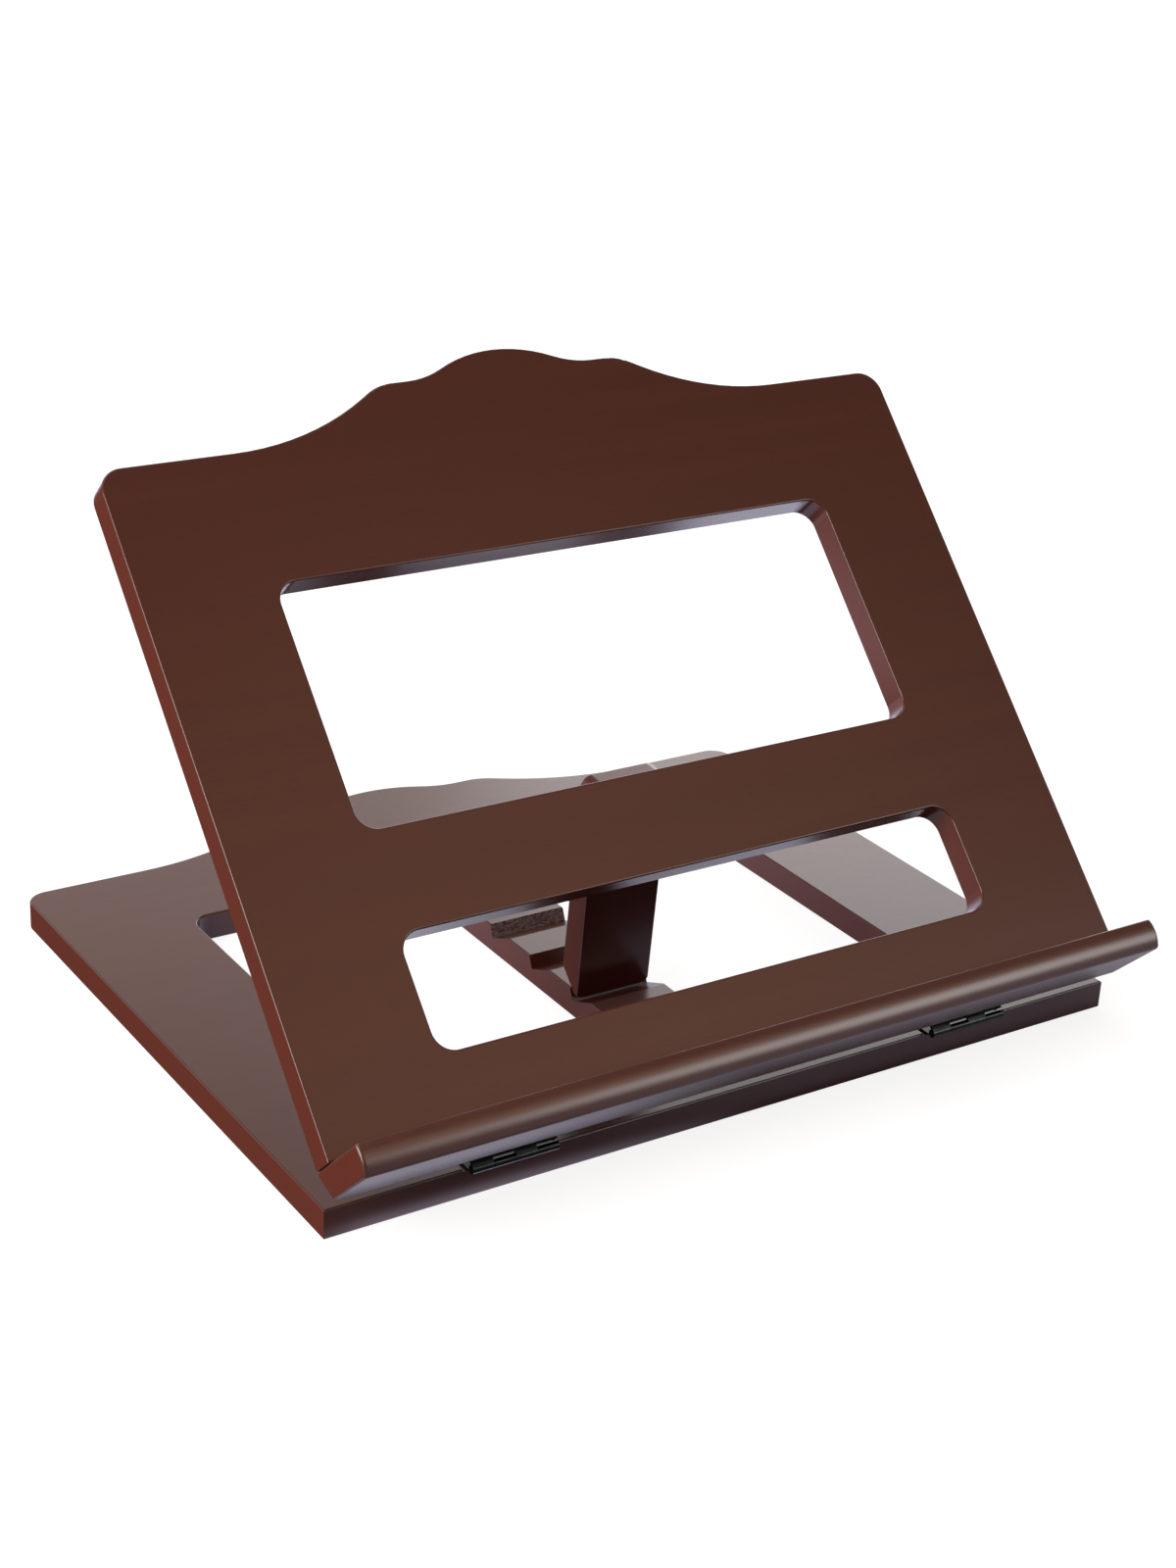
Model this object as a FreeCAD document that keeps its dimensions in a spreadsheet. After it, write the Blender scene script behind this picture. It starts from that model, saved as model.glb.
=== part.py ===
import FreeCAD, Part
import math
import os
import Sketcher
from FreeCAD import Vector

# Book stand: a panel with a ledge leans back on a base board, propped by a strut
# that stands in a slot of the base. All sizes are in millimetres and degrees.
# The origin is under the centre of the base board, +X to the right, +Y to the back.

doc = FreeCAD.newDocument("BookStand")

# Driving dimensions
dims = doc.addObject("Spreadsheet::Sheet", "dims")
SIZES = [
    # boards
    ("board_width", 300.0),
    ("board_thickness", 10.0),
    ("side_border", 44.6),
    ("board_corner_radius", 8.0),
    ("window_corner_radius", 7.0),
    ("edge_round", 0.6),
    # wavy crown of both boards, from the middle outwards
    ("crown_radius", 51.3),
    ("crown_half_angle", 25.1),
    ("cove_radius", 33.1),
    ("crown_step", 5.5),
    ("shoulder_radius", 19.0),
    ("shoulder_angle", 30.0),
    ("slope_length", 3.5),
    ("sweep_radius", 100.0),
    # base board
    ("base_depth", 228.3),
    ("base_front_border", 43.15),
    ("base_back_border", 42.65),
    ("centre_rail_width", 30.0),
    ("slot_wall_distance", 81.55),
    ("slot_pitch", 26.15),
    ("slot_count", 3),
    ("slot_depth", 4.5),
    ("slot_wall_run", 2.1),
    ("slot_run", 12.9),
    ("mortise_depth", 0.6),
    ("mortise_clearance", 1.5),
    # panel
    ("tilt_angle", 46.0),
    ("panel_height", 222.3),
    ("bottom_border", 22.0),
    ("lower_window_height", 38.0),
    ("middle_rail", 33.3),
    ("upper_window_height", 83.4),
    # ledge
    ("ledge_thickness", 10.0),
    ("ledge_top_reach", 21.4),
    ("ledge_bottom_reach", 20.2),
    ("nose_radius", 10.0),
    ("nose_foot_round", 1.5),
    ("ledge_end_round", 1.2),
    ("bevel_start", 2.1),
    ("bevel_depth", 4.8),
    ("dowel_radius", 2.5),
    ("dowel_in_panel", 12.0),
    ("dowel_in_ledge", 5.5),
    ("dowel_spacing", 120.0),
    # strut
    ("strut_width", 29.0),
    ("strut_thickness", 10.0),
    ("strut_top_radius", 4.0),
    ("strut_foot_radius", 2.0),
    ("strut_end_gap", 0.6),
    ("strut_pin_rise", 0.4),
    ("foot_bevel_angle", 45.0),
    ("foot_seat", 4.7),
    ("foot_clearance", 0.1),
    # hinges
    ("hinge_length", 30.0),
    ("hinge_spacing", 175.0),
    ("barrel_radius", 1.4),
    ("leaf_thickness", 0.8),
    ("pin_radius", 0.6),
    ("pin_clearance", 0.05),
    ("knuckle_gap", 0.15),
    ("leaf_clearance", 0.3),
    ("pin_setback", 2.3),
    ("base_leaf_width", 13.0),
    ("panel_leaf_width", 21.0),
    ("strut_hinge_length", 25.0),
    ("rail_leaf_width", 13.0),
    ("strut_leaf_width", 13.0),
    # screws
    ("screw_radius", 1.0),
    ("screw_head_radius", 1.8),
    ("screw_length", 7.5),
    ("screw_tip", 2.0),
    ("screw_edge", 4.6),
    ("screw_end", 6.0),
    ("driver_slot_width", 0.5),
    ("driver_slot_depth", 0.4),
    ("hole_clearance", 0.05),
]
for row, (alias, size) in enumerate(SIZES, 1):
    dims.set(f"A{row}", alias)
    dims.set(f"B{row}", str(size))
    dims.setAlias(f"B{row}", alias)
doc.recompute()

# Positions that follow from the sizes, shared by the pieces that meet there
fits = doc.addObject("App::VarSet", "fits")


def fit(name, expression):
    fits.addProperty("App::PropertyFloat", name)
    fits.setExpression(name, expression)


# front edge of the base, and the axis of the two front hinges
fit("front_y", "-dims.base_depth / 2")
fit("pin_y", "front_y - dims.pin_setback")
fit("pin_z", "dims.board_thickness - dims.mortise_depth + dims.barrel_radius")
# the hinge axis lies this far below the ledge's top plane and behind the panel's face
fit("pin_drop", "dims.ledge_thickness + dims.barrel_radius + dims.leaf_clearance")
fit("pin_behind", "dims.board_thickness + dims.barrel_radius")
# foot of the panel's face
fit("panel_y", "pin_y + pin_drop * cos(dims.tilt_angle * 1deg)"
    " - pin_behind * sin(dims.tilt_angle * 1deg)")
fit("panel_z", "pin_z + pin_drop * sin(dims.tilt_angle * 1deg)"
    " + pin_behind * cos(dims.tilt_angle * 1deg)")
# top of the middle rail, and the axis of the strut's hinge
fit("rail_top", "dims.bottom_border + dims.lower_window_height + dims.middle_rail")
fit("strut_pin_v", "rail_top + dims.strut_pin_rise")
fit("strut_pin_y", "panel_y + strut_pin_v * cos(dims.tilt_angle * 1deg)"
    " + pin_behind * sin(dims.tilt_angle * 1deg)")
fit("strut_pin_z", "panel_z + strut_pin_v * sin(dims.tilt_angle * 1deg)"
    " - pin_behind * cos(dims.tilt_angle * 1deg)")
# front edge of the strut's foot, whose bevel lies against the slot's upper arris
fit("foot_y", "front_y + dims.slot_wall_distance"
    " - dims.foot_seat * cos(dims.foot_bevel_angle * 1deg)"
    " - dims.foot_clearance * sin(dims.foot_bevel_angle * 1deg)")
fit("foot_z", "dims.board_thickness - dims.foot_seat * sin(dims.foot_bevel_angle * 1deg)"
    " + dims.foot_clearance * cos(dims.foot_bevel_angle * 1deg)")
fit("strut_span", "sqrt((foot_y - strut_pin_y)^2 + (strut_pin_z - foot_z)^2)")
fit("strut_reach", "sqrt(strut_span^2 - dims.barrel_radius^2)")
fit("strut_lean", "atan((foot_y - strut_pin_y) / (strut_pin_z - foot_z)) / 1deg"
    " - atan(dims.barrel_radius / strut_reach) / 1deg")
fit("foot_rise", "dims.strut_thickness"
    " * tan((dims.foot_bevel_angle - strut_lean) * 1deg)")
doc.recompute()


def value(expression):
    return float(dims.evalExpression(expression))


def place(obj, expression):
    obj.setExpression("Placement", expression)


def at(x, y, z, turn="create(<<rotation>>; 0; 0; 0)"):
    return (f"create(<<placement>>; create(<<vector>>; {x}; {y}; {z}); {turn})")


def turn_x(angle):
    return f"create(<<rotation>>; create(<<vector>>; 1; 0; 0); {angle})"


def flip_to(angle):
    # half turn that lays local Y along the direction at this angle in the YZ plane
    return (f"create(<<rotation>>; create(<<vector>>; 0; cos(({angle}) * 0.5deg);"
            f" sin(({angle}) * 0.5deg)); 180)")


def new_body(name):
    body = doc.addObject("PartDesign::Body", name)
    body.Label = name
    return body


def new_sketch(body, name, role, offset=None):
    sketch = body.newObject("Sketcher::SketchObject", name)
    plane = [o for o in body.Origin.OriginFeatures if o.Role == role][0]
    sketch.AttachmentSupport = (plane, [""])
    sketch.MapMode = "FlatFace"
    if offset:
        sketch.setExpression("AttachmentOffset.Base.z", offset)
    return sketch


def bind(sketch, kind, *args):
    # a dimension of the sketch, bound to an expression of the sheet's values
    *parts, expression = args
    index = sketch.addConstraint(Sketcher.Constraint(kind, *parts, value(expression)))
    sketch.setExpression(f"Constraints[{index}]", expression)


def bind_angle(sketch, geometry, expression):
    angle = math.radians(value(expression))
    index = sketch.addConstraint(Sketcher.Constraint("Angle", geometry, angle))
    sketch.setExpression(f"Constraints[{index}]", f"({expression}) * 1deg")


def pin_point(sketch, geometry, end, x, y):
    # holds a point at the expressions x and y, measured from the sketch's origin
    for kind, axis, expression in (("DistanceX", -2, x), ("DistanceY", -1, y)):
        number = value(expression)
        if abs(number) < 1e-9:
            sketch.addConstraint(Sketcher.Constraint("PointOnObject", geometry, end, axis))
        elif number > 0:
            bind(sketch, kind, -1, 1, geometry, end, expression)
        else:
            bind(sketch, kind, geometry, end, -1, 1, f"-({expression})")


def draw_loop(sketch, corners, closing_radius=None):
    # closed polygon whose corners are pairs of expressions; the last side can be
    # an arc that swells outwards, on a path that runs clockwise
    points = [Vector(value(x), value(y), 0) for x, y in corners]
    count = len(points)
    first = sketch.GeometryCount
    straight = count - 1 if closing_radius else count
    for i in range(straight):
        sketch.addGeometry(Part.LineSegment(points[i], points[(i + 1) % count]))
    if closing_radius:
        chord = points[0] - points[-1]
        radius = value(closing_radius)
        swell = radius - math.sqrt(radius ** 2 - chord.Length ** 2 / 4)
        outward = Vector(-chord.y, chord.x, 0).normalize()
        middle = (points[0] + points[-1]) * 0.5 + outward * swell
        sketch.addGeometry(Part.Arc(points[0], middle, points[-1]))
        bind(sketch, "Radius", first + straight, closing_radius)
    for i in range(straight - 1):
        sketch.addConstraint(Sketcher.Constraint(
            "Coincident", first + i, 2, first + i + 1, 1))
    last = first + count - 1
    if closing_radius:
        # the arc runs from the first corner to the last one
        sketch.addConstraint(Sketcher.Constraint("Coincident", last - 1, 2, last, 2))
        sketch.addConstraint(Sketcher.Constraint("Coincident", last, 1, first, 1))
    else:
        sketch.addConstraint(Sketcher.Constraint("Coincident", last, 2, first, 1))
    for i, (x, y) in enumerate(corners):
        if i < straight:
            pin_point(sketch, first + i, 1, x, y)
        else:
            pin_point(sketch, last - 1, 2, x, y)


def draw_circle(sketch, x, y, radius):
    centre = Vector(value(x), value(y), 0)
    index = sketch.addGeometry(Part.Circle(centre, Vector(0, 0, 1), value(radius)))
    bind(sketch, "Radius", index, radius)
    pin_point(sketch, index, 3, x, y)


def draw_window(sketch, left, right, low, high, low_radius, high_radius):
    # rectangle with rounded corners; the four sides and two radii are expressions
    x0, x1, y0, y1 = value(left), value(right), value(low), value(high)
    r0, r1 = value(low_radius), value(high_radius)
    up = Vector(0, 0, 1)
    first = sketch.GeometryCount

    def side(xa, ya, xb, yb):
        sketch.addGeometry(Part.LineSegment(Vector(xa, ya, 0), Vector(xb, yb, 0)))

    def corner(x, y, radius, start):
        circle = Part.Circle(Vector(x, y, 0), up, radius)
        sketch.addGeometry(Part.ArcOfCircle(circle, start, start + math.pi / 2))

    side(x0 + r0, y0, x1 - r0, y0)
    corner(x1 - r0, y0 + r0, r0, -math.pi / 2)
    side(x1, y0 + r0, x1, y1 - r1)
    corner(x1 - r1, y1 - r1, r1, 0)
    side(x1 - r1, y1, x0 + r1, y1)
    corner(x0 + r1, y1 - r1, r1, math.pi / 2)
    side(x0, y1 - r1, x0, y0 + r0)
    corner(x0 + r0, y0 + r0, r0, math.pi)
    for i in range(8):
        sketch.addConstraint(Sketcher.Constraint(
            "Tangent", first + i, 2, first + (i + 1) % 8, 1))
    for i in (0, 4):
        sketch.addConstraint(Sketcher.Constraint("Horizontal", first + i))
    for i in (2, 6):
        sketch.addConstraint(Sketcher.Constraint("Vertical", first + i))
    bind(sketch, "Radius", first + 1, low_radius)
    bind(sketch, "Radius", first + 3, high_radius)
    sketch.addConstraint(Sketcher.Constraint("Equal", first + 1, first + 7))
    sketch.addConstraint(Sketcher.Constraint("Equal", first + 3, first + 5))
    for kind, line, expression in (("DistanceX", 6, left), ("DistanceX", 2, right),
                                   ("DistanceY", 0, low), ("DistanceY", 4, high)):
        if value(expression) > 0:
            bind(sketch, kind, -1, 1, first + line, 1, expression)
        else:
            bind(sketch, kind, first + line, 1, -1, 1, f"-({expression})")


def draw_board(sketch, depth, below):
    # board outline: straight sides, rounded corners and the wavy crown at the top;
    # below is how far the bottom edge lies under the sketch's origin
    half = value("dims.board_width") / 2
    low = -value(below)
    base = low + value(depth)
    rc = value("dims.board_corner_radius")
    r1, r2 = value("dims.crown_radius"), value("dims.cove_radius")
    r3, r4 = value("dims.shoulder_radius"), value("dims.sweep_radius")
    a1 = math.radians(value("dims.crown_half_angle"))
    a2 = math.radians(value("dims.shoulder_angle"))
    step, slope = value("dims.crown_step"), value("dims.slope_length")
    # distances from the middle and heights where the pieces of the crown meet
    s1 = r1 * math.sin(a1)
    s2 = s1 + r2 * math.sin(a1)
    s3 = s2 + step
    s4 = s3 + r3 * math.sin(a2)
    s5 = s4 + slope * math.cos(a2)
    s6 = s5 + r4 * math.sin(a2)
    h5 = base + r4 * (1 - math.cos(a2))
    h4 = h5 + slope * math.sin(a2)
    h3 = h4 + r3 * (1 - math.cos(a2))
    top = h3 + (r1 + r2) * (1 - math.cos(a1))
    up = Vector(0, 0, 1)
    quarter = math.pi / 2

    def line(xa, ya, xb, yb):
        sketch.addGeometry(Part.LineSegment(Vector(xa, ya, 0), Vector(xb, yb, 0)))

    def arc(x, y, radius, start, end):
        circle = Part.Circle(Vector(x, y, 0), up, radius)
        sketch.addGeometry(Part.ArcOfCircle(circle, start, end))

    line(-half, low, half, low)
    line(half, low, half, base - rc)
    arc(half - rc, base - rc, rc, 0, quarter)
    line(half - rc, base, s6, base)
    arc(s6, base + r4, r4, 3 * quarter - a2, 3 * quarter)
    line(s5, h5, s4, h4)
    arc(s3, h3 - r3, r3, quarter - a2, quarter)
    line(s3, h3, s2, h3)
    arc(s2, h3 + r2, r2, 3 * quarter - a1, 3 * quarter)
    arc(0, top - r1, r1, quarter - a1, quarter + a1)
    arc(-s2, h3 + r2, r2, 3 * quarter, 3 * quarter + a1)
    line(-s2, h3, -s3, h3)
    arc(-s3, h3 - r3, r3, quarter, quarter + a2)
    line(-s4, h4, -s5, h5)
    arc(-s6, base + r4, r4, 3 * quarter, 3 * quarter + a2)
    line(-s6, base, rc - half, base)
    arc(rc - half, base - rc, rc, quarter, 2 * quarter)
    line(-half, base - rc, -half, low)
    joins = [(1, 2, 2, 1), (2, 2, 3, 1), (3, 2, 4, 2), (4, 1, 5, 1), (5, 2, 6, 1),
             (6, 2, 7, 1), (7, 2, 8, 2), (8, 1, 9, 1), (9, 2, 10, 2), (10, 1, 11, 1),
             (11, 2, 12, 1), (12, 2, 13, 1), (13, 2, 14, 2), (14, 1, 15, 1),
             (15, 2, 16, 1), (16, 2, 17, 1)]
    for join in joins:
        sketch.addConstraint(Sketcher.Constraint("Tangent", *join))
    sketch.addConstraint(Sketcher.Constraint("Coincident", 0, 2, 1, 1))
    sketch.addConstraint(Sketcher.Constraint("Coincident", 17, 2, 0, 1))
    for level in (3, 7, 11, 15):
        sketch.addConstraint(Sketcher.Constraint("Horizontal", level))
    for upright in (1, 17):
        sketch.addConstraint(Sketcher.Constraint("Vertical", upright))
    for right, left in ((2, 16), (4, 14), (6, 12), (8, 10), (7, 11), (5, 13)):
        sketch.addConstraint(Sketcher.Constraint("Equal", right, left))
    sketch.addConstraint(Sketcher.Constraint("PointOnObject", 9, 3, -2))
    sketch.addConstraint(Sketcher.Constraint("Horizontal", 9, 1, 9, 2))
    sketch.addConstraint(Sketcher.Constraint("Symmetric", 0, 1, 0, 2, -2))
    bind(sketch, "Radius", 2, "dims.board_corner_radius")
    bind(sketch, "Radius", 4, "dims.sweep_radius")
    bind(sketch, "Radius", 6, "dims.shoulder_radius")
    bind(sketch, "Radius", 8, "dims.cove_radius")
    bind(sketch, "Radius", 9, "dims.crown_radius")
    bind_angle(sketch, 9, "2 * dims.crown_half_angle")
    bind_angle(sketch, 6, "dims.shoulder_angle")
    bind_angle(sketch, 12, "dims.shoulder_angle")
    bind(sketch, "Distance", 7, "dims.crown_step")
    bind(sketch, "Distance", 5, "dims.slope_length")
    bind(sketch, "Distance", 0, "dims.board_width")
    bind(sketch, "DistanceY", 0, 2, 3, 1, depth)
    if low:
        bind(sketch, "DistanceY", 0, 1, -1, 1, below)
    else:
        sketch.addConstraint(Sketcher.Constraint("PointOnObject", 0, 1, -1))


def pad(body, name, sketch, length, down=False, both=False):
    feature = body.newObject("PartDesign::Pad", name)
    feature.Profile = sketch
    feature.setExpression("Length", length)
    feature.Reversed = down
    if both:
        feature.SideType = "Symmetric"
    doc.recompute()
    return feature


def pocket(body, name, sketch, length=None, both=False, up=False):
    before = body.Shape.Volume
    feature = body.newObject("PartDesign::Pocket", name)
    feature.Profile = sketch
    if length:
        feature.setExpression("Length", length)
    else:
        feature.Type = "ThroughAll"
    if both:
        feature.SideType = "Symmetric"
    feature.Reversed = up
    doc.recompute()
    if not body.Shape.Volume < before - 1e-6:
        raise RuntimeError(f"{name} cuts nothing")
    return feature


def bore(body, name, x, y, z, radius, depth, turn="create(<<rotation>>; 0; 0; 0)"):
    # round hole from the point x, y, z along the turned Z axis
    before = body.Shape.Volume
    feature = body.newObject("PartDesign::SubtractiveCylinder", name)
    feature.setExpression("Radius", radius)
    feature.setExpression("Height", depth)
    place(feature, at(x, y, z, turn))
    doc.recompute()
    if not body.Shape.Volume < before - 1e-6:
        raise RuntimeError(f"{name} cuts nothing")


def lies_at(box, *levels):
    # whether an edge with this bounding box lies at one of these heights
    return any(max(abs(box.ZMin - z), abs(box.ZMax - z)) < 1e-6 for z in levels)


def round_edges(body, name, radius, wanted):
    # rounds the edges whose bounding boxes, in the body's own frame, are wanted
    base = body.Tip
    edges = [f"Edge{number}" for number, edge in enumerate(base.Shape.Edges, 1)
             if wanted(edge.BoundBox)]
    feature = body.newObject("PartDesign::Fillet", name)
    feature.Base = (base, edges)
    feature.setExpression("Radius", radius)
    doc.recompute()
    if feature.Shape.isNull() or not feature.Shape.isValid():
        raise RuntimeError(f"{name} can't be made")


# Places and sizes that several pieces share
HINGE_X = ("-dims.hinge_spacing / 2", "dims.hinge_spacing / 2")
SCREW_X = ("- (dims.hinge_length / 2 - dims.screw_end)",
           "+ (dims.hinge_length / 2 - dims.screw_end)")
STRUT_SCREW_X = ("-(dims.strut_hinge_length / 2 - dims.screw_end)",
                 "dims.strut_hinge_length / 2 - dims.screw_end")
DOWEL_X = ("-dims.dowel_spacing", "0", "dims.dowel_spacing")
PANEL_SCREW_V = "dims.panel_leaf_width - dims.screw_edge - fits.pin_drop"
RAIL_SCREW_V = "fits.strut_pin_v - dims.rail_leaf_width + dims.screw_edge"
STRUT_SCREW_Y = "dims.strut_leaf_width - dims.screw_edge"
HOLE_RADIUS = "dims.screw_radius + dims.hole_clearance"
SCREW_IN_WOOD = "(dims.screw_length - dims.leaf_thickness)"

# Base board
base_board = new_body("base_board")
outline = new_sketch(base_board, "base_outline", "XY_Plane")
draw_board(outline, "dims.base_depth", "dims.base_depth / 2")
pad(base_board, "base_plate", outline, "dims.board_thickness")
# two windows, left and right of the centre rail
windows = new_sketch(base_board, "base_windows", "XY_Plane")
WINDOW_LOW = "fits.front_y + dims.base_front_border"
WINDOW_HIGH = "dims.base_depth / 2 - dims.base_back_border"
WINDOW_OUTSIDE = "dims.board_width / 2 - dims.side_border"
WINDOW_INSIDE = "dims.centre_rail_width / 2"
draw_window(windows, f"-({WINDOW_OUTSIDE})", f"-{WINDOW_INSIDE}", WINDOW_LOW,
            WINDOW_HIGH, "dims.window_corner_radius", "dims.window_corner_radius")
draw_window(windows, WINDOW_INSIDE, WINDOW_OUTSIDE, WINDOW_LOW,
            WINDOW_HIGH, "dims.window_corner_radius", "dims.window_corner_radius")
pocket(base_board, "base_window_cut", windows, up=True)
THICKNESS = value("dims.board_thickness")
round_edges(base_board, "base_edges", "dims.edge_round",
            lambda box: lies_at(box, 0, THICKNESS))
# slots across the centre rail: a steep back wall and a floor that rises forwards
slot = new_sketch(base_board, "slot_profile", "YZ_Plane")
SLOT_WALL = "fits.front_y + dims.slot_wall_distance"
draw_loop(slot, [
    (SLOT_WALL, "dims.board_thickness"),
    (SLOT_WALL, "dims.board_thickness + dims.edge_round"),
    (f"{SLOT_WALL} - dims.slot_run", "dims.board_thickness + dims.edge_round"),
    (f"{SLOT_WALL} - dims.slot_run", "dims.board_thickness"),
    (f"{SLOT_WALL} - dims.slot_wall_run", "dims.board_thickness - dims.slot_depth"),
])
first_slot = pocket(base_board, "slot_cut", slot,
                    "dims.centre_rail_width + 2 * dims.edge_round", both=True)
slots = base_board.newObject("PartDesign::LinearPattern", "slots")
slots.Originals = [first_slot]
slots.Direction = ([o for o in base_board.Origin.OriginFeatures
                    if o.Role == "Y_Axis"][0], [""])
slots.setExpression("Length", "dims.slot_pitch * (dims.slot_count - 1)")
slots.setExpression("Occurrences", "dims.slot_count")
base_board.Tip = slots
doc.recompute()
# recesses for the base leaves of the front hinges
recess = new_sketch(base_board, "mortises", "XY_Plane", "dims.board_thickness")
MORTISE_HALF = "(dims.hinge_length / 2 + dims.mortise_clearance)"
MORTISE_BACK = "fits.pin_y + dims.base_leaf_width + dims.leaf_clearance"
for centre in HINGE_X:
    draw_loop(recess, [
        (f"{centre} - {MORTISE_HALF}", "fits.pin_y"),
        (f"{centre} + {MORTISE_HALF}", "fits.pin_y"),
        (f"{centre} + {MORTISE_HALF}", MORTISE_BACK),
        (f"{centre} - {MORTISE_HALF}", MORTISE_BACK),
    ])
pocket(base_board, "mortise_cut", recess, "dims.mortise_depth")
# holes for the screws of the base leaves
for i, centre in enumerate(HINGE_X):
    for j, offset in enumerate(SCREW_X):
        bore(base_board, f"base_screw_hole_{i}{j}", f"{centre} {offset}",
             "fits.pin_y + dims.base_leaf_width - dims.screw_edge",
             f"dims.board_thickness - dims.mortise_depth - {SCREW_IN_WOOD}",
             HOLE_RADIUS, SCREW_IN_WOOD)

# Panel, drawn flat with its face at Z = 0, then leaned back about its foot
panel = new_body("book_panel")
outline = new_sketch(panel, "panel_outline", "XY_Plane")
draw_board(outline, "dims.panel_height", "0")
pad(panel, "panel_plate", outline, "dims.board_thickness", down=True)
windows = new_sketch(panel, "panel_windows", "XY_Plane")
draw_window(windows, f"-({WINDOW_OUTSIDE})", WINDOW_OUTSIDE, "dims.bottom_border",
            "dims.bottom_border + dims.lower_window_height",
            "dims.window_corner_radius", "dims.window_corner_radius")
draw_window(windows, f"-({WINDOW_OUTSIDE})", WINDOW_OUTSIDE, "fits.rail_top",
            "fits.rail_top + dims.upper_window_height",
            "dims.window_corner_radius", "dims.window_corner_radius")
pocket(panel, "panel_window_cut", windows)
round_edges(panel, "panel_edges", "dims.edge_round",
            lambda box: lies_at(box, 0, -THICKNESS))
# holes for the screws of the front hinges' panel leaves
for i, centre in enumerate(HINGE_X):
    for j, offset in enumerate(SCREW_X):
        bore(panel, f"panel_screw_hole_{i}{j}", f"{centre} {offset}",
             PANEL_SCREW_V, "-dims.board_thickness", HOLE_RADIUS,
             SCREW_IN_WOOD)
# holes for the screws of the strut hinge's rail leaf
for j, offset in enumerate(STRUT_SCREW_X):
    bore(panel, f"rail_screw_hole_{j}", offset, RAIL_SCREW_V,
         "-dims.board_thickness", HOLE_RADIUS, SCREW_IN_WOOD)
# holes for the dowels that hold the ledge
for j, x in enumerate(DOWEL_X):
    bore(panel, f"panel_dowel_hole_{j}", x, "0", "-dims.board_thickness / 2",
         "dims.dowel_radius", "dims.dowel_in_panel", turn_x("-90"))
place(panel, at("0", "fits.panel_y", "fits.panel_z", turn_x("dims.tilt_angle")))

# Ledge under the foot of the panel, drawn in the panel's frame
ledge = new_body("book_ledge")
profile = new_sketch(ledge, "ledge_profile", "YZ_Plane")
draw_loop(profile, [
    ("0", "dims.ledge_top_reach"),
    ("0", "-dims.board_thickness"),
    ("-dims.bevel_start", "-dims.board_thickness"),
    ("-dims.ledge_thickness", "-dims.board_thickness + dims.bevel_depth"),
    ("-dims.ledge_thickness", "dims.ledge_bottom_reach"),
], "dims.nose_radius")
pad(ledge, "ledge_bar", profile, "dims.board_width", both=True)
# softened arrises: under the nose, on top of the nose, and all round both ends
LEDGE_HALF = value("dims.board_width / 2")
LEDGE_FOOT = -value("dims.ledge_thickness")
round_edges(ledge, "nose_foot", "dims.nose_foot_round",
            lambda box: lies_at(box, value("dims.ledge_bottom_reach"))
            and abs(box.YMin - LEDGE_FOOT) < 1e-6)
round_edges(ledge, "nose_top", "dims.edge_round",
            lambda box: lies_at(box, value("dims.ledge_top_reach")))
round_edges(ledge, "ledge_ends", "dims.ledge_end_round",
            lambda box: abs(abs(box.XMin) - LEDGE_HALF) < 1e-6
            and box.XLength < 1e-6)
for j, x in enumerate(DOWEL_X):
    bore(ledge, f"ledge_dowel_hole_{j}", x, "-dims.dowel_in_ledge",
         "-dims.board_thickness / 2", "dims.dowel_radius", "dims.dowel_in_ledge",
         turn_x("-90"))
place(ledge, "book_panel.Placement")

# Dowels between ledge and panel
dowels = []
for j, x in enumerate(DOWEL_X):
    dowel = doc.addObject("Part::Cylinder", f"dowel_{j}")
    dowel.setExpression("Radius", "dims.dowel_radius - dims.hole_clearance")
    dowel.setExpression("Height", "dims.dowel_in_ledge + dims.dowel_in_panel")
    place(dowel, at(x, "-dims.dowel_in_ledge", "-dims.board_thickness / 2",
                    turn_x("-90")))
    dowels.append(dowel)
ledge_dowels = doc.addObject("Part::Compound", "ledge_dowels")
ledge_dowels.Links = dowels
place(ledge_dowels, "book_panel.Placement")

# Strut, in the frame of its hinge: Y runs down the strut, Z points to the panel
strut = new_body("support_strut")
outline = new_sketch(strut, "strut_outline", "XY_Plane", "-dims.barrel_radius")
draw_window(outline, "-dims.strut_width / 2", "dims.strut_width / 2",
            "dims.strut_end_gap", "fits.strut_reach",
            "dims.strut_top_radius", "dims.strut_foot_radius")
pad(strut, "strut_plate", outline, "dims.strut_thickness", down=True)
bevel = new_sketch(strut, "foot_bevel", "YZ_Plane")
STRUT_BACK = "-dims.barrel_radius - dims.strut_thickness"
draw_loop(bevel, [
    ("fits.strut_reach", "-dims.barrel_radius"),
    ("fits.strut_reach", STRUT_BACK),
    ("fits.strut_reach - fits.foot_rise", STRUT_BACK),
])
pocket(strut, "foot_bevel_cut", bevel, "dims.strut_width", both=True)
# the foot's front arris stays sharp
STRUT_FRONT_Z = -value("dims.barrel_radius")
STRUT_BACK_Z = value(STRUT_BACK)
SHARP_FROM = value("fits.strut_reach - dims.strut_foot_radius") - 0.01
round_edges(strut, "strut_edges", "dims.edge_round",
            lambda box: lies_at(box, STRUT_FRONT_Z, STRUT_BACK_Z)
            and box.YMin < SHARP_FROM)
for j, offset in enumerate(STRUT_SCREW_X):
    bore(strut, f"strut_screw_hole_{j}", offset, STRUT_SCREW_Y,
         f"-dims.barrel_radius - {SCREW_IN_WOOD}", HOLE_RADIUS, SCREW_IN_WOOD)
place(strut, at("0", "fits.strut_pin_y", "fits.strut_pin_z",
                flip_to("fits.strut_lean - 90")))


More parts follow.
